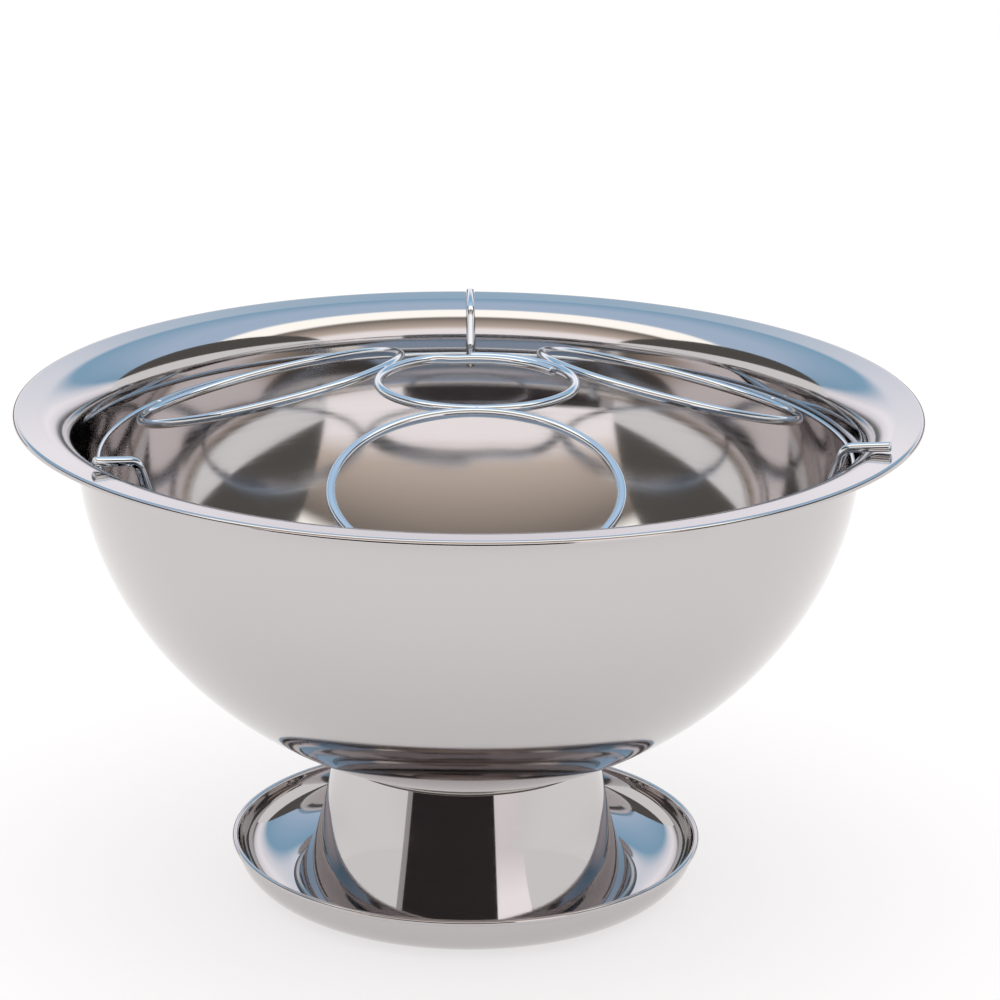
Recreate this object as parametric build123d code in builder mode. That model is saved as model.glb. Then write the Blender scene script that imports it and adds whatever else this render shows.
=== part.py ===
# Footed champagne bowl of polished stainless steel, with a loose wire rack for three bottles.
# Millimetres, +Z up. The origin is the centre of the base, on the table.
import os
from math import acos, atan2, cos, degrees, hypot, radians, sin, sqrt, tan

from build123d import *

os.makedirs("parts", exist_ok=True)

# Stock
sheet = 1.0
wire = 4.0
thin_wire = 2.0

# Base tray, a shallow dish with a rolled rim
tray_radius = 100.9
tray_height = 21.0
tray_bead = 2.6
foot_margin = 2.4        # flat floor left outside the stem's foot

# Stem, a hollow cone whose foot flares out
stem_top_radius = 56.0
stem_height = 58.8
stem_taper = 11.5
flare_height = 34.0
flare_spread = 11.95
braze_radius = 1.5

# Bowl, an oval dish whose wall turns out over a cove into a flat brim with a turned-down lip
rim_radius = 190.0
throat_radius = 163.8
bowl_depth = 145.9
bowl_fullness = 1.88
cove_radius = 17.0
brim_slope = 5.0
lip_radius = 1.6
lip_undercut = 12.0

# Rack: a hub ring and a perimeter ring, with three slanted bottle rings between them
hub_radius = 41.3
hub_rise = 8.6
perimeter_gap = 3.8
perimeter_drop = 21.9
bottle_ring_azimuths = {"front": 270.0, "right": 33.5, "left": 152.0}
contact_angle = 30.0
weld_set = 0.15          # welded wires melt this far into each other
rack_shift = 3.0         # the loose rack sits this far to one side

# The hub is one wire, bent to a ring, and its ends lap
lap_start = 122.0
lap_end = 30.0
lap_butt = 94.0
lap_gap = 0.15
joggle_radius = 12.0

# Hooks that hang the rack on the brim
hook_azimuths = {"back": 91.0, "left": 213.0, "right": 338.0}
hook_tip_inset = 10.3
hook_corner_inset = 3.3
hook_slope = 8.0
hook_bend = 6.0
hook_tail = 5.0
hook_rounding = 0.5
seat_gap = 0.3


def bowl_drop(radius):
    """Depth of the bowl's outer skin below the throat, at this radius."""
    return bowl_depth * (1 - (radius / throat_radius) ** bowl_fullness) ** (1 / bowl_fullness)


def stem_radius(height):
    """Radius of the stem's cone at this height over the tray's floor."""
    return stem_top_radius + (stem_height - height) * tan(radians(stem_taper))


floor_top = sheet
stem_foot_radius = stem_radius(flare_height) + flare_spread
throat_height = floor_top + stem_height + bowl_drop(stem_top_radius)
cove_centre = throat_radius - sheet + cove_radius
lip_centre = rim_radius - lip_radius
brim_start = cove_centre - cove_radius * sin(radians(brim_slope))
brim_end = lip_centre - lip_radius * sin(radians(brim_slope))
brim_rise = (brim_end - brim_start) * sin(radians(brim_slope)) / cos(radians(brim_slope))
lip_height = throat_height + (cove_radius - lip_radius) * cos(radians(brim_slope)) + brim_rise
rim_height = lip_height + lip_radius


def bowl_skin(depth):
    """Points of the bowl's curve from the throat to the bottom, depth outside the inner face."""
    across = throat_radius - sheet + depth
    down = bowl_depth - sheet + depth
    power = 2 / bowl_fullness
    return [
        (across * cos(radians(turn)) ** power, throat_height - down * sin(radians(turn)) ** power)
        for turn in range(0, 90, 9)
    ] + [(0, throat_height - down)]


def bowl_curve(depth):
    """The bowl's curve as one spline, upright at the throat and level at the bottom."""
    return Spline(bowl_skin(depth), tangents=[(0, -1), (-1, 0)])


def cove_arc(depth):
    """The cove, which turns the wall outwards into the brim."""
    return CenterArc((cove_centre, throat_height), cove_radius - depth, 180, brim_slope - 90)


def lip_arc(depth):
    """The lip, which turns the brim's edge down and under."""
    return CenterArc((lip_centre, lip_height), lip_radius - depth, 90 + brim_slope,
                     -90 - brim_slope - lip_undercut)


# Bowl
with BuildPart() as bowl:
    with BuildSketch(Plane.XZ):
        with BuildLine():
            inside = bowl_curve(0)
            inside_cove = cove_arc(0)
            inside_lip = lip_arc(0)
            Line(inside_cove @ 1, inside_lip @ 0)
            outside = bowl_curve(sheet)
            outside_cove = cove_arc(sheet)
            outside_lip = lip_arc(sheet)
            Line(outside_cove @ 1, outside_lip @ 0)
            Line(inside_lip @ 1, outside_lip @ 1)
            Line(inside @ 1, outside @ 1)
        make_face()
    revolve(axis=Axis.Z)
bowl.part.label = "bowl"

# The bowl's outer profile, filled, cuts the profiles that are fitted to its underside
with BuildSketch(Plane.XZ) as bowl_core:
    with BuildLine():
        core_curve = bowl_curve(sheet)
        Polyline(core_curve @ 1, (0, throat_height), core_curve @ 0)
    make_face()

# Base tray
tray_flat_radius = stem_foot_radius + foot_margin
bead_centre = tray_radius - tray_bead / 2
bead_height = tray_height - tray_bead / 2
tray_wall_radius = tray_radius - tray_bead + sheet
tray_side = tray_wall_radius - tray_flat_radius

with BuildPart() as base_tray:
    with BuildSketch(Plane.XZ):
        with BuildLine():
            tray_outer = EllipticalCenterArc((tray_flat_radius, bead_height), tray_side, bead_height,
                                             start_angle=270, arc_size=90)
            tray_inner = EllipticalCenterArc((tray_flat_radius, bead_height), tray_side - sheet,
                                             bead_height - sheet, start_angle=270, arc_size=90)
            Polyline(tray_outer @ 0, (0, 0), (0, sheet), tray_inner @ 0)
            Line(tray_outer @ 1, tray_inner @ 1)
        make_face()
        with Locations((bead_centre, bead_height)):
            Circle(tray_bead / 2)
    revolve(axis=Axis.Z)
base_tray.part.label = "base_tray"


def stem_side(inset):
    """The stem's side, from the tray's floor through the bowl's skin, inset towards the axis."""
    foot = (stem_foot_radius - inset, floor_top)
    knee = (stem_radius(flare_height) - inset, floor_top + flare_height)
    head_height = stem_height + 2 * sheet
    head = (stem_radius(head_height) - inset, floor_top + head_height)
    TangentArc(knee, foot, tangent=(tan(radians(stem_taper)), -1))
    Line(knee, head)
    return foot, head


# Stem, trimmed to the bowl's underside
with BuildPart() as stem:
    with BuildSketch(Plane.XZ):
        with BuildLine():
            outer_foot, outer_head = stem_side(0)
            inner_foot, inner_head = stem_side(sheet)
            Line(outer_foot, inner_foot)
            Line(outer_head, inner_head)
        make_face()
        add(bowl_core.sketch_local, mode=Mode.SUBTRACT)
    revolve(axis=Axis.Z)
stem.part.label = "stem"

# The stem's outer profile, filled, keeps the brazed fillets outside it
with BuildSketch(Plane.XZ) as stem_core:
    with BuildLine():
        core_foot, core_head = stem_side(0)
        Polyline(core_foot, (0, core_foot[1]), (0, core_head[1]), core_head)
    make_face()

# Braze fillets at the stem's two ends
with BuildPart() as foot_braze_ring:
    with BuildSketch(Plane.XZ):
        with Locations((stem_foot_radius, floor_top)):
            Circle(braze_radius)
            Rectangle(2 * braze_radius, braze_radius, align=(Align.CENTER, Align.MAX), mode=Mode.SUBTRACT)
        add(stem_core.sketch_local, mode=Mode.SUBTRACT)
    revolve(axis=Axis.Z)
foot_braze_ring.part.label = "foot_braze_ring"

with BuildPart() as top_braze_ring:
    with BuildSketch(Plane.XZ):
        with Locations((stem_top_radius, floor_top + stem_height)):
            Circle(braze_radius)
        add([stem_core.sketch_local, bowl_core.sketch_local], mode=Mode.SUBTRACT)
    revolve(axis=Axis.Z)
top_braze_ring.part.label = "top_braze_ring"

# Rack
rack_axis = Axis((rack_shift, 0, 0), (0, 0, 1))
hub_height = rim_height + hub_rise
perimeter_radius = throat_radius - sheet - perimeter_gap - thin_wire / 2
perimeter_height = rim_height - perimeter_drop
thin_contact = (wire + thin_wire) / 2 - weld_set


def radial_plane(azimuth):
    """Upright plane through the rack's axis: local X runs outwards, local Y up."""
    turn = radians(azimuth)
    return Plane(origin=(rack_shift, 0, 0), x_dir=(cos(turn), sin(turn), 0),
                 z_dir=(sin(turn), -cos(turn), 0))


# Hub ring: a main turn, then an S bend in to a smaller radius, where the wire laps its other end
lap_radius = hub_radius - wire - lap_gap
inner_reach = hub_radius - joggle_radius
outer_reach = lap_radius + joggle_radius
joggle_turn = degrees(acos(
    (inner_reach**2 + outer_reach**2 - (2 * joggle_radius) ** 2) / (2 * inner_reach * outer_reach)))
lap_join = lap_start - joggle_turn
hub_plane = Plane(origin=(rack_shift, 0, hub_height))


def polar(radius, azimuth):
    """Point in the hub's plane."""
    return radius * cos(radians(azimuth)), radius * sin(radians(azimuth))


first_centre = polar(inner_reach, lap_start)
second_centre = polar(outer_reach, lap_join)
joggle_heading = degrees(atan2(second_centre[1] - first_centre[1], second_centre[0] - first_centre[0]))

with BuildPart() as hub_ring:
    with BuildLine(hub_plane) as hub_path:
        CenterArc((0, 0), hub_radius, lap_butt, lap_start - lap_butt - 360)
        CenterArc(first_centre, joggle_radius, lap_start, joggle_heading - lap_start)
        CenterArc(second_centre, joggle_radius, joggle_heading + 180, lap_join - joggle_heading)
        CenterArc((0, 0), lap_radius, lap_join, lap_end - lap_join)
    hub_start = hub_path.wire()
    with BuildSketch(Plane(origin=hub_start @ 0, z_dir=hub_start % 0)):
        Circle(wire / 2)
    sweep(path=hub_start)
hub_ring.part.label = "hub_ring"

with BuildPart() as perimeter_ring:
    with BuildSketch(radial_plane(0)):
        with Locations((perimeter_radius, perimeter_height)):
            Circle(thin_wire / 2)
    revolve(axis=rack_axis)
perimeter_ring.part.label = "perimeter_ring"

# Bottle rings: the high side is welded beside the hub, the low side under the perimeter ring
high_reach = hub_radius + wire - weld_set
low_reach = perimeter_radius - thin_contact * cos(radians(contact_angle))
low_height = perimeter_height - thin_contact * sin(radians(contact_angle))
ring_reach = (high_reach + low_reach) / 2
ring_height = (hub_height + low_height) / 2
ring_radius = hypot(low_reach - high_reach, hub_height - low_height) / 2
ring_tilt = atan2(hub_height - low_height, low_reach - high_reach)
print("bottle ring radius", round(ring_radius, 2), "tilt", round(degrees(ring_tilt), 2))

bottle_rings = {}
for place, azimuth in bottle_ring_azimuths.items():
    upright = radial_plane(azimuth)
    outwards = upright.x_dir * cos(ring_tilt) - Vector(0, 0, 1) * sin(ring_tilt)
    section = Plane(origin=upright.from_local_coords((ring_reach, ring_height)),
                    x_dir=upright.z_dir, z_dir=outwards)
    with BuildPart() as bottle_ring:
        with BuildSketch(section):
            with Locations((ring_radius, 0)):
                Circle(wire / 2)
        revolve(axis=Axis(section.origin, section.y_dir))
    bottle_ring.part.label = f"bottle_ring_{place}"
    bottle_rings[place] = bottle_ring.part

# Hooks: each rod clears the shoulder of the cove by the seat gap, and all stand at one height
seat_radius = cove_radius + wire / 2 + seat_gap
shoulder_reach = min(
    sqrt(cove_centre**2 - (rack_shift * sin(radians(azimuth))) ** 2)
    - rack_shift * cos(radians(azimuth))
    for azimuth in hook_azimuths.values()
)


def rod_height(reach):
    """Height of a hook's rod over the brim, at this distance from the rack's axis."""
    slope = radians(hook_slope)
    return (throat_height + seat_radius / cos(slope)
            + (reach - shoulder_reach) * sin(slope) / cos(slope))


leg_reach = perimeter_radius - thin_contact
corner_reach = throat_radius - hook_corner_inset
tip_reach = rim_radius - hook_tip_inset

hooks = {}
for place, azimuth in hook_azimuths.items():
    with BuildPart() as hook:
        with BuildLine(radial_plane(azimuth)) as hook_line:
            FilletPolyline(
                (leg_reach, perimeter_height - hook_tail),
                (leg_reach, perimeter_height + hook_tail),
                (corner_reach, rod_height(corner_reach)),
                (tip_reach, rod_height(tip_reach)),
                radius=hook_bend,
            )
        hook_path = hook_line.wire()
        with BuildSketch(Plane(origin=hook_path @ 0, z_dir=hook_path % 0)):
            Circle(wire / 2)
        sweep(path=hook_path)
        ends = hook.faces().filter_by(GeomType.PLANE)
        fillet(ends.edges(), hook_rounding)
    hook.part.label = f"hook_{place}"
    hooks[place] = hook.part

pieces = [bowl.part, base_tray.part, stem.part, foot_braze_ring.part, top_braze_ring.part,
          hub_ring.part, perimeter_ring.part, *bottle_rings.values(), *hooks.values()]
for piece in pieces:
    export_step(piece, f"parts/{piece.label}.step")
print("rim height", round(rim_height, 2), "throat height", round(throat_height, 2),
      "hub height", round(hub_height, 2), "perimeter height", round(perimeter_height, 2))
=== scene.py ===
# Footed champagne bowl of mirror-polished stainless steel, with a loose chromed wire rack for three bottles.
# Lengths are in millimetres and angles in degrees, but the studio and the camera's place, aim and clipping are
# in metres, as the scene is.
from math import acos, asin, atan2, cos, degrees, pi, radians, sin, sqrt, tan

import bpy
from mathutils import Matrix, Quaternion, Vector


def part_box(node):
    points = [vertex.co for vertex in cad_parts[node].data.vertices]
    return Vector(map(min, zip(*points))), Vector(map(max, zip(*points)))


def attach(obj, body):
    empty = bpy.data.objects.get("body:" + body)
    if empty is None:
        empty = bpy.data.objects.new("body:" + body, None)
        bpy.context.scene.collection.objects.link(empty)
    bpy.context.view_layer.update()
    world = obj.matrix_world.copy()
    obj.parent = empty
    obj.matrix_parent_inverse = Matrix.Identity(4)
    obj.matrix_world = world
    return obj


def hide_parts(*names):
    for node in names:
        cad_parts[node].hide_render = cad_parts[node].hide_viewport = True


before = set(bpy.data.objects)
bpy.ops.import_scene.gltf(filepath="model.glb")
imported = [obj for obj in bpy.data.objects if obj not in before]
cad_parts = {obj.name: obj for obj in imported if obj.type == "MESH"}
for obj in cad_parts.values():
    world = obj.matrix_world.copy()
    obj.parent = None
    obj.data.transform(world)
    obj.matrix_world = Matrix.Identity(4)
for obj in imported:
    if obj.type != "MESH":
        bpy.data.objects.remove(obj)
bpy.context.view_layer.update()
mm = 0.001
mergeGap = 0.001 * mm
creaseAngle = 45.0  # faces that meet more sharply than this keep a crisp edge
cutEnd = {"steps": 3, "angle": 60.0}  # how a wire's cut ends are rounded
scene = bpy.context.scene
print("frame loaded")


def linearColour(hexCode):
    # sRGB hex to the linear colour that shaders take
    channels = [int(hexCode[i:i + 2], 16) / 255 for i in (1, 3, 5)]
    return [c / 12.92 if c <= 0.04045 else ((c + 0.055) / 1.055) ** 2.4 for c in channels] + [1.0]


def addNode(tree, kind, inputs=None, **settings):
    # one node, its settings, and its inputs as values or as links from another node's socket
    node = tree.nodes.new(kind)
    for key, value in settings.items():
        setattr(node, key, value)
    for key, value in (inputs or {}).items():
        if isinstance(value, bpy.types.NodeSocket):
            tree.links.new(value, node.inputs[key])
        else:
            node.inputs[key].default_value = value
    return node


def newTree(name, numbers):
    # a geometry tree with a geometry and a material input, and named number inputs
    tree = bpy.data.node_groups.new(name, "GeometryNodeTree")
    tree.interface.new_socket("Geometry", in_out="INPUT", socket_type="NodeSocketGeometry")
    for label, kind in numbers.items():
        tree.interface.new_socket(label, in_out="INPUT", socket_type=kind)
    tree.interface.new_socket("Material", in_out="INPUT", socket_type="NodeSocketMaterial")
    tree.interface.new_socket("Geometry", in_out="OUTPUT", socket_type="NodeSocketGeometry")
    return tree, tree.nodes.new("NodeGroupInput").outputs


def closeTree(tree, shape, material):
    # every tree ends in smooth shading, real geometry and a material
    smooth = addNode(tree, "GeometryNodeSetShadeSmooth", {"Geometry": shape})
    real = addNode(tree, "GeometryNodeRealizeInstances", {"Geometry": smooth.outputs[0]})
    painted = addNode(tree, "GeometryNodeSetMaterial", {"Geometry": real.outputs[0], "Material": material})
    addNode(tree, "NodeGroupOutput", {0: painted.outputs[0]})
    return tree


def bakePiece(name, data, tree, values, material, body, node, bevel=0):
    # runs the tree on the data and leaves a plain mesh that rides on the body, in place of its CAD node if any
    source = bpy.data.objects.new(name + "Source", data)
    scene.collection.objects.link(source)
    modifier = source.modifiers.new("shape", "NODES")
    modifier.node_group = tree
    for item in tree.interface.items_tree:
        if item.in_out == "INPUT" and item.name in values:
            modifier[item.identifier] = values[item.name]
        if item.in_out == "INPUT" and item.name == "Material":
            modifier[item.identifier] = material
    if bevel:
        rounding = source.modifiers.new("roundedEnds", "BEVEL")
        rounding.width, rounding.segments = bevel, cutEnd["steps"]
        rounding.limit_method, rounding.angle_limit = "ANGLE", radians(cutEnd["angle"])
    graph = bpy.context.evaluated_depsgraph_get()
    mesh = bpy.data.meshes.new_from_object(source.evaluated_get(graph), depsgraph=graph)
    bpy.data.objects.remove(source)
    mesh.name = name
    mesh.set_sharp_from_angle(angle=radians(creaseAngle))
    piece = bpy.data.objects.new(name, mesh)
    scene.collection.objects.link(piece)
    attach(piece, body)
    if node:
        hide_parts(node)
    print("made", name, len(mesh.polygons), "faces")
    return piece


def arcPoints(centre, radius, start, sweep, steps):
    # points on a flat arc, angles in degrees
    return [(centre[0] + radius * cos(radians(start + sweep * i / steps)),
             centre[1] + radius * sin(radians(start + sweep * i / steps))) for i in range(steps + 1)]


def makeLatheTree():
    # turns a profile, given as a chain of points in the XZ plane, about the Z axis
    tree, given = newTree("latheTurn", {"Steps around": "NodeSocketInt"})
    steps = given["Steps around"]
    count = addNode(tree, "GeometryNodeAttributeDomainSize", {"Geometry": given["Geometry"]})
    rows = count.outputs["Point Count"]
    columns = addNode(tree, "ShaderNodeMath", {0: steps, 1: 1.0}, operation="ADD")
    grid = addNode(tree, "GeometryNodeMeshGrid", {"Vertices X": columns.outputs[0], "Vertices Y": rows})
    index = addNode(tree, "GeometryNodeInputIndex").outputs[0]
    row = addNode(tree, "ShaderNodeMath", {0: index, 1: rows}, operation="MODULO")
    ratio = addNode(tree, "ShaderNodeMath", {0: index, 1: rows}, operation="DIVIDE")
    column = addNode(tree, "ShaderNodeMath", {0: ratio.outputs[0]}, operation="FLOOR")
    turns = addNode(tree, "ShaderNodeMath", {0: column.outputs[0], 1: steps}, operation="DIVIDE")
    angle = addNode(tree, "ShaderNodeMath", {0: turns.outputs[0], 1: 2 * pi}, operation="MULTIPLY")
    place = addNode(tree, "GeometryNodeInputPosition").outputs[0]
    point = addNode(tree, "GeometryNodeSampleIndex",
                    {"Geometry": given["Geometry"], "Value": place, "Index": row.outputs[0]},
                    data_type="FLOAT_VECTOR")
    turned = addNode(tree, "ShaderNodeVectorRotate",
                     {"Vector": point.outputs[0], "Angle": angle.outputs[0]}, rotation_type="Z_AXIS")
    moved = addNode(tree, "GeometryNodeSetPosition",
                    {"Geometry": grid.outputs[0], "Position": turned.outputs[0]})
    # the seam and the poles close where points meet
    merged = addNode(tree, "GeometryNodeMergeByDistance",
                     {"Geometry": moved.outputs[0], "Distance": mergeGap})
    outwards = addNode(tree, "GeometryNodeFlipFaces", {"Mesh": merged.outputs[0]})
    return closeTree(tree, outwards.outputs[0], given["Material"])


def makeWireTree():
    # bends round wire along a curve, with a set radius at its corners
    tree, given = newTree("wireBend", {"Wire diameter": "NodeSocketFloat", "Sides": "NodeSocketInt",
                                       "Bend radius": "NodeSocketFloat", "Bend steps": "NodeSocketInt"})
    bent = addNode(tree, "GeometryNodeFilletCurve",
                   {"Curve": given["Geometry"], "Radius": given["Bend radius"], "Count": given["Bend steps"]},
                   mode="POLY")
    half = addNode(tree, "ShaderNodeMath", {0: given["Wire diameter"], 1: 2.0}, operation="DIVIDE")
    section = addNode(tree, "GeometryNodeCurvePrimitiveCircle",
                      {"Resolution": given["Sides"], "Radius": half.outputs[0]})
    tube = addNode(tree, "GeometryNodeCurveToMesh",
                   {"Curve": bent.outputs[0], "Profile Curve": section.outputs[0], "Fill Caps": True})
    return closeTree(tree, tube.outputs[0], given["Material"])


def makeBeadTree():
    # sets a round weld bead on each point
    tree, given = newTree("weldBeads", {"Bead radius": "NodeSocketFloat"})
    bead = addNode(tree, "GeometryNodeMeshUVSphere",
                   {"Segments": 20, "Rings": 12, "Radius": given["Bead radius"]})
    beads = addNode(tree, "GeometryNodeInstanceOnPoints",
                    {"Points": given["Geometry"], "Instance": bead.outputs[0]})
    return closeTree(tree, beads.outputs[0], given["Material"])


latheTree, wireTree, beadTree = makeLatheTree(), makeWireTree(), makeBeadTree()


def turnPiece(name, profile, around, material, node):
    # profile points are (radius, height), in millimetres, with the metal on their right
    mesh = bpy.data.meshes.new(name + "Profile")
    chain = [(r * mm, 0, z * mm) for r, z in profile]
    mesh.from_pydata(chain, [(i, i + 1) for i in range(len(chain) - 1)], [])
    return bakePiece(name, mesh, latheTree, {"Steps around": around}, material, "stand", node)


wireSides = 28


def wirePiece(name, points, closed, size, material, node, bend=(0.0, 1), rounding=0):
    # bend is the corners' radius and steps, and rounding is that of the cut ends
    curve = bpy.data.curves.new(name + "Path", "CURVE")
    curve.dimensions = "3D"
    spline = curve.splines.new("POLY")
    spline.points.add(len(points) - 1)
    for target, (x, y, z) in zip(spline.points, points):
        target.co = (x * mm, y * mm, z * mm, 1)
    spline.use_cyclic_u = closed
    values = {"Wire diameter": size * mm, "Sides": wireSides,
              "Bend radius": bend[0] * mm, "Bend steps": bend[1]}
    return bakePiece(name, curve, wireTree, values, material, "rack", node, rounding * mm)


# finishes of the sheets and the braze: colour, roughness from the smoothest patches to the dullest, and the
# depth of the metal's slow ripple
bowlFinish = {"colour": "#c5c1c1", "roughness": (0.05, 0.11), "rippleDepth": 0.05}
footFinish = {"colour": "#c4c0c0", "roughness": (0.03, 0.07), "rippleDepth": 0.03}
brazeFinish = {"colour": "#a8a39f", "roughness": (0.12, 0.22), "rippleDepth": 0.02}
# the patterns that these finishes share
spinning = {"ringPitch": 1.4, "ringDetail": 2.0, "ringRoughness": 0.6, "ringDepth": 0.0012, "smearPitch": 45.0,
            "smearDetail": 3.0, "smearRoughness": 0.55, "smearShare": 0.55, "ripplePitch": 70.0}
chrome = {"colour": "#d3d6da", "roughness": (0.04, 0.10), "patchPitch": 3.0, "patchDetail": 3.0,
          "patchRoughness": 0.6, "dimpleDepth": 0.004}
noiseLow, noiseHigh = 0.3, 0.7  # nearly all noise lies between these


def metalSurface(name, colour):
    # a metal's material, its tree and its shader
    material = bpy.data.materials.new(name)
    material.use_nodes = True
    surface = material.node_tree.nodes["Principled BSDF"]
    surface.inputs["Base Color"].default_value = linearColour(colour)
    surface.inputs["Metallic"].default_value = 1.0
    return material, material.node_tree, surface


def noiseNode(tree, place, pitch, detail, roughness=0.5, dimensions="3D"):
    # noise whose grains are about this many millimetres apart
    return addNode(tree, "ShaderNodeTexNoise", {"Vector": place, "Scale": 1 / (pitch * mm), "Detail": detail,
                                                "Roughness": roughness}, noise_dimensions=dimensions)


def roughnessFrom(tree, surface, value, roughness):
    # spreads the noise over the finish's range of roughness
    shine = addNode(tree, "ShaderNodeMapRange", {"Value": value, "From Min": noiseLow, "From Max": noiseHigh,
                                                 "To Min": roughness[0], "To Max": roughness[1]})
    tree.links.new(shine.outputs[0], surface.inputs["Roughness"])


def spunSteel(name, finish):
    # stainless sheet, spun to shape and buffed to a mirror: crisp reflections that waver a little from the
    # sheet's slow ripple, and faint rings left by the spinning. The rings are drawn coarser than the real ones
    material, tree, surface = metalSurface(name, finish["colour"])
    place = addNode(tree, "ShaderNodeTexCoord").outputs["Object"]
    parts = addNode(tree, "ShaderNodeSeparateXYZ", {0: place}).outputs
    flat = addNode(tree, "ShaderNodeCombineXYZ", {"X": parts["X"], "Y": parts["Y"]})
    reach = addNode(tree, "ShaderNodeVectorMath", {0: flat.outputs[0]}, operation="LENGTH")
    across = addNode(tree, "ShaderNodeCombineXYZ", {"X": reach.outputs["Value"], "Y": parts["Z"]})
    rings = noiseNode(tree, across.outputs[0], spinning["ringPitch"], spinning["ringDetail"],
                      spinning["ringRoughness"], "2D")
    smears = noiseNode(tree, place, spinning["smearPitch"], spinning["smearDetail"], spinning["smearRoughness"])
    mixed = addNode(tree, "ShaderNodeMix", {"Factor": spinning["smearShare"], 2: rings.outputs[0],
                                            3: smears.outputs[0]})
    roughnessFrom(tree, surface, mixed.outputs[0], finish["roughness"])
    ripple = noiseNode(tree, place, spinning["ripplePitch"], 1.0)
    slow = addNode(tree, "ShaderNodeBump", {"Height": ripple.outputs[0],
                                            "Distance": finish["rippleDepth"] * mm})
    fine = addNode(tree, "ShaderNodeBump", {"Height": rings.outputs[0], "Distance": spinning["ringDepth"] * mm,
                                            "Normal": slow.outputs[0]})
    tree.links.new(fine.outputs[0], surface.inputs["Normal"])
    return material


def platedWire(name, finish):
    # steel wire with bright chromium plating over nickel: a cool mirror, slightly dulled in patches
    material, tree, surface = metalSurface(name, finish["colour"])
    place = addNode(tree, "ShaderNodeTexCoord").outputs["Object"]
    patches = noiseNode(tree, place, finish["patchPitch"], finish["patchDetail"], finish["patchRoughness"])
    roughnessFrom(tree, surface, patches.outputs[0], finish["roughness"])
    dimples = addNode(tree, "ShaderNodeBump", {"Height": patches.outputs[0],
                                               "Distance": finish["dimpleDepth"] * mm})
    tree.links.new(dimples.outputs[0], surface.inputs["Normal"])
    return material


bowlSteel = spunSteel("mirrorPolishedStainlessBowl", bowlFinish)
footSteel = spunSteel("mirrorPolishedStainlessFoot", footFinish)
brazeMetal = spunSteel("polishedBrazeFiller", brazeFinish)
rackChrome = platedWire("chromePlatedWire", chrome)
print("materials ready")


# brimShares are where the flat brim has points, between the cove at 0 and the lip at 1
bowlLow, bowlHigh = (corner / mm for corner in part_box("bowl"))
bowl = {"sheet": 1.0, "throatRadius": 163.8, "fullness": 1.88, "coveRadius": 17.0, "brimSlope": 5.0,
        "lipRadius": 1.6, "lipUndercut": 12.0, "around": 288, "wallSteps": 64, "coveSteps": 28, "lipSteps": 14,
        "brimShares": (0.06, 0.5, 0.94)}
rimRadius, rimHeight = bowlHigh.x, bowlHigh.z
lipCentre = (rimRadius - bowl["lipRadius"], rimHeight - bowl["lipRadius"])
coveReach = bowl["throatRadius"] - bowl["sheet"] + bowl["coveRadius"]
slope = radians(bowl["brimSlope"])
radiusDrop = bowl["coveRadius"] - bowl["lipRadius"]
brimRun = lipCentre[0] - coveReach + radiusDrop * sin(slope)
throatHeight = lipCentre[1] - radiusDrop * cos(slope) - brimRun * tan(slope)
bowlDepth = throatHeight - bowlLow.z


def bowlSkin(depth):
    # the wall from the bottom to the throat: a quarter of a superellipse, depth outside the inner face
    across = bowl["throatRadius"] - bowl["sheet"] + depth
    down = bowlDepth - bowl["sheet"] + depth
    power = 2 / bowl["fullness"]
    turns = [radians(90 * i / bowl["wallSteps"]) for i in range(bowl["wallSteps"] + 1)]
    return [(across * sin(turn) ** power, throatHeight - down * abs(cos(turn)) ** power) for turn in turns]


def brimSkin(depth):
    # the cove and the brim, then the lip that turns down and under
    cove = arcPoints((coveReach, throatHeight), bowl["coveRadius"] - depth, 180, bowl["brimSlope"] - 90,
                     bowl["coveSteps"])
    lip = arcPoints(lipCentre, bowl["lipRadius"] - depth, 90 + bowl["brimSlope"],
                    -90 - bowl["brimSlope"] - bowl["lipUndercut"], bowl["lipSteps"])
    brim = [tuple(a + (b - a) * share for a, b in zip(cove[-1], lip[0])) for share in bowl["brimShares"]]
    return cove[1:] + brim + lip


outerSkin = bowlSkin(bowl["sheet"]) + brimSkin(bowl["sheet"])
bowlProfile = bowlSkin(0) + brimSkin(0) + outerSkin[::-1]
bowlPiece = turnPiece("bowl_shell", bowlProfile, bowl["around"], bowlSteel, "bowl")


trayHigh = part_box("base_tray")[1] / mm
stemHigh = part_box("stem")[1] / mm
tray = {"sheet": 1.0, "footMargin": 2.4, "bead": 2.6, "beadGap": 0.2, "around": 224, "wallSteps": 28,
        "beadSteps": 20}

beadRadius = tray["bead"] / 2
beadCentre = (trayHigh.x - beadRadius, trayHigh.z - beadRadius)
trayFlat = stemHigh.x + tray["footMargin"]
wallReach = trayHigh.x - tray["bead"] + tray["sheet"] - trayFlat
beadStart = 180 + degrees(acos((beadCentre[0] - trayFlat - wallReach) / beadRadius))


def traySide(inset):
    # a quarter ellipse from the flat bottom up to the bead
    turns = [radians(90 * i / tray["wallSteps"]) for i in range(tray["wallSteps"] + 1)]
    return [(trayFlat + (wallReach - inset) * sin(turn),
             beadCentre[1] - (beadCentre[1] - inset) * cos(turn)) for turn in turns]


# the rolled rim goes from the wall's inside over the top and round to where the wall's outside meets it
rimRoll = arcPoints(beadCentre, beadRadius, 180, beadStart - 540, tray["beadSteps"])
beadFoot = beadCentre[1] + beadRadius * sin(radians(beadStart))
trayOutside = [point for point in traySide(0) if point[1] < beadFoot - tray["beadGap"]]
trayProfile = [(0, tray["sheet"])] + traySide(tray["sheet"]) + rimRoll[1:] + trayOutside[::-1] + [(0, 0)]
trayPiece = turnPiece("tray_shell", trayProfile, tray["around"], footSteel, "base_tray")


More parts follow.
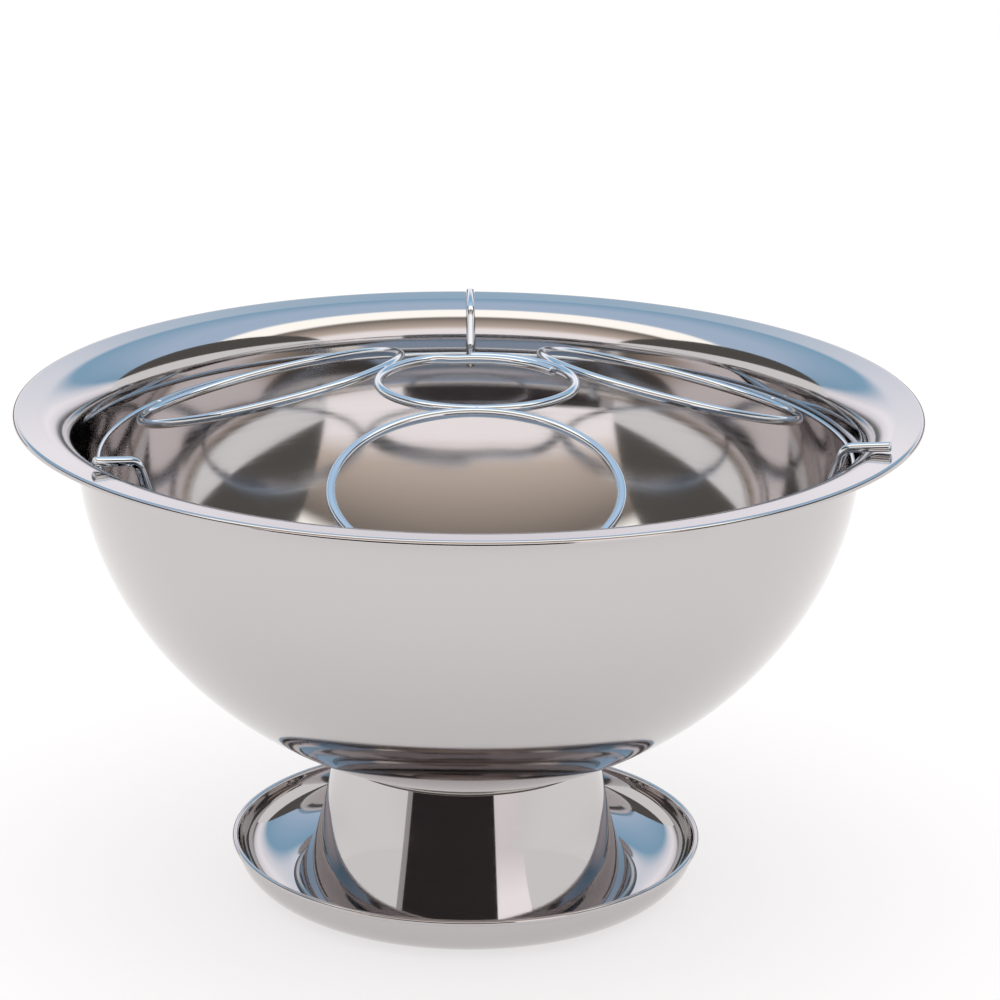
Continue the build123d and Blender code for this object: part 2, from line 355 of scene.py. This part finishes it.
# coneShares are where the cone has points, between the knee at 0 and the bowl at 1
stem = {"topRadius": 56.0, "taper": 11.5, "flareHeight": 34.0, "flareSteps": 32, "around": 224,
        "coneShares": (0.02, 0.25, 0.5, 0.75, 0.98, 1)}


def stemSide(inset, top):
    # the foot's flare, an arc that leaves the cone without a crease, then the straight cone
    taper = radians(stem["taper"])
    knee = (stem["topRadius"] + (top - tray["sheet"] - stem["flareHeight"]) * tan(taper),
            tray["sheet"] + stem["flareHeight"])
    across, down = stemHigh.x - knee[0], stem["flareHeight"]
    bend = 2 * (atan2(across, down) - taper)
    flareRadius = sqrt(across**2 + down**2) / (2 * sin(bend / 2))
    centre = (knee[0] + flareRadius * cos(taper), knee[1] + flareRadius * sin(taper))
    flare = arcPoints(centre, flareRadius, 180 + stem["taper"] + degrees(bend), -degrees(bend),
                      stem["flareSteps"])
    cone = [(knee[0] + (stem["topRadius"] - knee[0]) * share, knee[1] + (top - knee[1]) * share)
            for share in stem["coneShares"]]
    return [(radius - inset, height) for radius, height in flare + cone]


def bowlUnderside(radius):
    # height of the bowl's outer skin at this radius
    share = (radius / bowl["throatRadius"]) ** bowl["fullness"]
    return throatHeight - bowlDepth * (1 - share) ** (1 / bowl["fullness"])


stemTop = bowlUnderside(stem["topRadius"])
outerSide, innerSide = stemSide(0, stemTop), stemSide(tray["sheet"], stemTop)
stemProfile = innerSide + outerSide[::-1] + innerSide[:1]
stemPiece = turnPiece("stem_shell", stemProfile, stem["around"], footSteel, "stem")


def heading(first, second):
    # direction from one profile point to another, in degrees
    return degrees(atan2(second[1] - first[1], second[0] - first[0]))


# each fillet's section is the sector between the two sheets that it joins, from one sheet's heading to the
# other's, with its root just inside them
braze = {"radius": 1.5, "rootDepth": 0.3, "steps": 16}
foot, head = outerSide[0], outerSide[-1]
bowlBeyond = (head[0] + 1, bowlUnderside(head[0] + 1))
brazeEnds = {"foot": (foot, heading(foot, outerSide[1]), 0),
             "top": (head, heading(head, bowlBeyond), heading(head, outerSide[-2]))}
for place, (corner, start, end) in brazeEnds.items():
    middle = radians((start + end) / 2)
    root = (corner[0] - braze["rootDepth"] * cos(middle), corner[1] - braze["rootDepth"] * sin(middle))
    section = [root] + arcPoints(corner, braze["radius"], start, end - start, braze["steps"]) + [root]
    brazePiece = turnPiece(f"{place}_braze_fillet", section, stem["around"], brazeMetal, f"{place}_braze_ring")


def boxMiddle(node):
    # a node's middle and half its size, in millimetres
    low, high = (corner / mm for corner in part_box(node))
    return (low + high) / 2, (high - low) / 2


# a weld bead sits midway between its two wires' centres, moved by its shift: outwards and up at the bottle
# rings' low ends, and outwards at the hooks
rack = {"wire": 4.0, "thinWire": 2.0, "weldSet": 0.15, "ringSteps": 144, "edgeSteps": 240, "beadRadius": 1.7,
        "lowWeldShift": (0.4, 0.2), "hookWeldShift": 0.5}
hub = {"lapStart": 122.0, "lapEnd": 30.0, "lapButt": 94.0, "lapGap": 0.15, "joggleRadius": 12.0,
       "turnSteps": 132, "joggleSteps": 10, "lapSteps": 36}
hooks = {"azimuths": {"back": 91.0, "left": 213.0, "right": 338.0}, "tipInset": 10.3, "cornerInset": 3.3,
         "slope": 8.0, "bend": 6.0, "tail": 5.0, "rounding": 0.5, "seatGap": 0.3, "bendSteps": 16}

hubMiddle, hubHalf = boxMiddle("hub_ring")
edgeMiddle, edgeHalf = boxMiddle("perimeter_ring")
hubRadius = hubHalf.x - rack["wire"] / 2
edgeRadius = edgeHalf.x - rack["thinWire"] / 2
rackX, hubZ, edgeZ = hubMiddle.x, hubMiddle.z, edgeMiddle.z


def radialPoint(reach, height, azimuth):
    # a point at this reach from the rack's own axis
    return (rackX + reach * cos(radians(azimuth)), reach * sin(radians(azimuth)), height)


# the hub wire: a main turn, an S bend inwards, then a lap beside its own start
lapRadius = hubRadius - rack["wire"] - hub["lapGap"]
innerReach, outerReach = hubRadius - hub["joggleRadius"], lapRadius + hub["joggleRadius"]
joggleTurn = degrees(acos((innerReach**2 + outerReach**2 - (2 * hub["joggleRadius"]) ** 2)
                          / (2 * innerReach * outerReach)))
lapJoin = hub["lapStart"] - joggleTurn
firstCentre = (innerReach * cos(radians(hub["lapStart"])), innerReach * sin(radians(hub["lapStart"])))
secondCentre = (outerReach * cos(radians(lapJoin)), outerReach * sin(radians(lapJoin)))
joggleHeading = heading(firstCentre, secondCentre)
hubPath = (arcPoints((0, 0), hubRadius, hub["lapButt"], hub["lapStart"] - hub["lapButt"] - 360,
                     hub["turnSteps"])
           + arcPoints(firstCentre, hub["joggleRadius"], hub["lapStart"], joggleHeading - hub["lapStart"],
                       hub["joggleSteps"])[1:]
           + arcPoints(secondCentre, hub["joggleRadius"], joggleHeading + 180, lapJoin - joggleHeading,
                       hub["joggleSteps"])[1:]
           + arcPoints((0, 0), lapRadius, lapJoin, hub["lapEnd"] - lapJoin, hub["lapSteps"])[1:])
hubPiece = wirePiece("hub_wire", [(x + rackX, y, hubZ) for x, y in hubPath], False, rack["wire"], rackChrome,
                     "hub_ring", rounding=hooks["rounding"])

edgeCircle = arcPoints((0, 0), edgeRadius, 0, 360, rack["edgeSteps"])[:-1]
edgePath = [(x + rackX, y, edgeZ) for x, y in edgeCircle]
edgePiece = wirePiece("perimeter_wire", edgePath, True, rack["thinWire"], rackChrome, "perimeter_ring")

# the bottle rings lie on slanted circles, and the front one, which leans straight forward, shows their radius
weldPoints = []
ringRadius = boxMiddle("bottle_ring_front")[1].x - rack["wire"] / 2
for place in ("front", "right", "left"):
    middle, half = boxMiddle(f"bottle_ring_{place}")
    azimuth = degrees(atan2(middle.y, middle.x - rackX))
    tilt = asin((half.z - rack["wire"] / 2) / ringRadius)
    reach = sqrt((middle.x - rackX) ** 2 + middle.y**2)
    ringPath = []
    for i in range(rack["ringSteps"]):
        turn = 2 * pi * i / rack["ringSteps"]
        out, side = ringRadius * cos(turn), ringRadius * sin(turn)
        x, y, z = radialPoint(reach + out * cos(tilt), middle.z - out * sin(tilt), azimuth)
        ringPath.append((x - side * sin(radians(azimuth)), y + side * cos(radians(azimuth)), z))
    wirePiece(f"bottle_ring_{place}_wire", ringPath, True, rack["wire"], rackChrome,
                                f"bottle_ring_{place}")
    lowReach, lowZ = reach + ringRadius * cos(tilt), middle.z - ringRadius * sin(tilt)
    weldPoints.append(radialPoint(hubRadius + rack["wire"] / 2, hubZ, azimuth))
    weldPoints.append(radialPoint((lowReach + edgeRadius) / 2 + rack["lowWeldShift"][0],
                                  (lowZ + edgeZ) / 2 + rack["lowWeldShift"][1], azimuth))

# the hooks' rods all stand at one height. The hook whose part of the shoulder is nearest to the rack's axis
# clears it by the seat gap, and the other two by a little more
seatRadius = bowl["coveRadius"] + rack["wire"] / 2 + hooks["seatGap"]
shoulderReach = min(sqrt(coveReach**2 - (rackX * sin(radians(a))) ** 2) - rackX * cos(radians(a))
                    for a in hooks["azimuths"].values())
thinContact = (rack["wire"] + rack["thinWire"]) / 2 - rack["weldSet"]
legReach = edgeRadius - thinContact
cornerReach = bowl["throatRadius"] - hooks["cornerInset"]
tipReach = rimRadius - hooks["tipInset"]


def rodHeight(reach):
    # height of a hook's rod over the brim, at this reach
    lean = radians(hooks["slope"])
    return throatHeight + seatRadius / cos(lean) + (reach - shoulderReach) * tan(lean)


for place, azimuth in hooks["azimuths"].items():
    corners = [(legReach, edgeZ - hooks["tail"]), (legReach, edgeZ + hooks["tail"]),
               (cornerReach, rodHeight(cornerReach)), (tipReach, rodHeight(tipReach))]
    hookPath = [radialPoint(reach, height, azimuth) for reach, height in corners]
    wirePiece(f"hook_{place}_wire", hookPath, False, rack["wire"], rackChrome,
                                f"hook_{place}", (hooks["bend"], hooks["bendSteps"]), hooks["rounding"])
    weldPoints.append(radialPoint((legReach + edgeRadius) / 2 + rack["hookWeldShift"], edgeZ, azimuth))

weldMesh = bpy.data.meshes.new("weldPoints")
weldMesh.from_pydata([(x * mm, y * mm, z * mm) for x, y, z in weldPoints], [], [])
weldPiece = bakePiece("weld_beads", weldMesh, beadTree, {"Bead radius": rack["beadRadius"] * mm}, rackChrome,
                      "rack", None)
print("rack made")


def glowingMaterial(name, colour, glow):
    # a surface that only glows and reflects nothing
    material = bpy.data.materials.new(name)
    material.use_nodes = True
    surface = material.node_tree.nodes["Principled BSDF"]
    surface.inputs["Base Color"].default_value = (0.0, 0.0, 0.0, 1.0)
    surface.inputs["Specular IOR Level"].default_value = 0.0
    surface.inputs["Emission Color"].default_value = linearColour(colour)
    surface.inputs["Emission Strength"].default_value = glow
    return material


def floorMaterial(name, colour, glow, roughness):
    # pale matt paper that glows a little, as if lit from below
    material = glowingMaterial(name, colour, glow)
    surface = material.node_tree.nodes["Principled BSDF"]
    surface.inputs["Base Color"].default_value = linearColour(colour)
    surface.inputs["Roughness"].default_value = roughness
    return material


def tentMaterial(name, stops, glow):
    # cloth in long strips along X: its colour depends on the angle about X
    material = glowingMaterial(name, "#ffffff", glow)
    tree = material.node_tree
    place = addNode(tree, "ShaderNodeTexCoord").outputs["Object"]
    parts = addNode(tree, "ShaderNodeSeparateXYZ", {0: place}).outputs
    angle = addNode(tree, "ShaderNodeMath", {0: parts["Z"], 1: parts["Y"]}, operation="ARCTAN2")
    share = addNode(tree, "ShaderNodeMath", {0: angle.outputs[0], 1: pi}, operation="DIVIDE")
    ramp = addNode(tree, "ShaderNodeValToRGB", {0: share.outputs[0]})
    elements = ramp.color_ramp.elements
    for i, (turn, colour) in enumerate(stops):
        stop = elements[i] if i < len(elements) else elements.new(turn / 180)
        stop.position, stop.color = turn / 180, linearColour(colour)
    tree.links.new(ramp.outputs[0], tree.nodes["Principled BSDF"].inputs["Emission Color"])
    return material


def panelObject(name, corners, faces, material):
    # one thing of the studio, made of flat faces
    mesh = bpy.data.meshes.new(name)
    mesh.from_pydata(corners, [], faces)
    mesh.materials.append(material)
    panel = bpy.data.objects.new(name, mesh)
    scene.collection.objects.link(panel)
    return panel


studio = {"floorHalf": 30.0, "floorColour": "#a6a5a5", "floorGlow": 1.6, "floorRoughness": 0.9, "world": 1.0,
          "lampSize": 2.4, "lampHeight": 2.3, "lampPower": 15.0}
tent = {"radius": 2.6, "halfLength": 2.6, "steps": 36, "glow": 1.8, "endLow": 26.0, "endColour": "#4a4845"}
# the tent's colours, by the angle in degrees from the floor behind the bowl over to the floor before it
tentStops = [(0, "#4a4b4b"), (9, "#5a5a5b"), (13, "#c4c2c8"), (18, "#d8d6da"), (23, "#c0c4cd"), (28, "#7497af"),
             (57, "#9cb0c6"), (80, "#9cb0c6"), (84, "#fefdf6"), (104, "#fefdf6"), (110, "#6c655e"),
             (137, "#b5a99e"), (148, "#e4e0e0"), (162, "#e4e0e0"), (180, "#c6c2c3")]
# upright cards inside the tent, which the stem mirrors: left and right edges, distance along Y, height, colour
# and glow
flags = {"black_flag": (-0.78, 0.33, -0.80, 0.42, "#2b2627", 1.4),
         "grey_flag": (-0.92, -0.78, -0.81, 0.42, "#8a8687", 1.8)}

floorHalf = studio["floorHalf"]
floorCorners = [(x * floorHalf, y * floorHalf, 0) for x, y in ((-1, -1), (1, -1), (1, 1), (-1, 1))]
paleFloor = floorMaterial("paleFloor", studio["floorColour"], studio["floorGlow"], studio["floorRoughness"])
panelObject("studio_floor", floorCorners, [(0, 1, 2, 3)], paleFloor)

arch = arcPoints((0, 0), tent["radius"], 0, 180, tent["steps"])
tentCorners = [(side * tent["halfLength"], y, z) for side in (-1, 1) for y, z in arch]
tentFaces = [(i, i + 1, i + len(arch) + 1, i + len(arch)) for i in range(tent["steps"])]
tentCloth = tentMaterial("tentCloth", tentStops, tent["glow"])
reflectors = [panelObject("light_tent", tentCorners, tentFaces, tentCloth)]
# dark cloth closes the tent's ends, high up
endArc = arcPoints((0, 0), tent["radius"], tent["endLow"], 180 - 2 * tent["endLow"], tent["steps"])
for name, side in (("left_end", -tent["halfLength"]), ("right_end", tent["halfLength"])):
    endCorners = [(side, y, z) for y, z in endArc]
    reflectors.append(panelObject(name, endCorners, [tuple(range(len(endArc)))],
                                  glowingMaterial(name, tent["endColour"], tent["glow"])))
for name, (left, right, depth, height, colour, glow) in flags.items():
    corners = [(left, depth, 0), (right, depth, 0), (right, depth, height), (left, depth, height)]
    reflectors.append(panelObject(name, corners, [(0, 1, 2, 3)], glowingMaterial(name, colour, glow)))
for panel in reflectors:
    # they show in the metal only, and leave the floor evenly lit
    panel.visible_camera = panel.visible_diffuse = panel.visible_shadow = False

world = bpy.data.worlds.new("studioWorld")
scene.world = world
world.use_nodes = True
background = world.node_tree.nodes["Background"]
background.inputs["Color"].default_value = linearColour("#ffffff")
background.inputs["Strength"].default_value = studio["world"]

lamp = bpy.data.lights.new("overheadSoftbox", "AREA")
lamp.shape, lamp.size, lamp.energy = "SQUARE", studio["lampSize"], studio["lampPower"]
lampObject = bpy.data.objects.new("overheadSoftbox", lamp)
lampObject.location = (0, 0, studio["lampHeight"])
lampObject.visible_camera = False
lampObject.visible_glossy = False
scene.collection.objects.link(lampObject)

camera = {"place": (0, -1.5735, 0.6597), "aim": (0.01323, 0, 0.17014), "roll": 0.627, "lens": 140.66,
          "sensor": 36.0, "clipStart": 0.05, "clipEnd": 100.0}
lensData = bpy.data.cameras.new("camera")
lensData.lens, lensData.sensor_width = camera["lens"], camera["sensor"]
lensData.clip_start, lensData.clip_end = camera["clipStart"], camera["clipEnd"]
cameraObject = bpy.data.objects.new("camera", lensData)
cameraObject.location = camera["place"]
sight = Vector(camera["aim"]) - Vector(camera["place"])
cameraObject.rotation_mode = "QUATERNION"
roll = Quaternion((0, 0, 1), radians(camera["roll"]))
cameraObject.rotation_quaternion = sight.to_track_quat("-Z", "Y") @ roll
scene.collection.objects.link(cameraObject)
scene.camera = cameraObject
scene.view_settings.view_transform = "Standard"
print("studio ready")
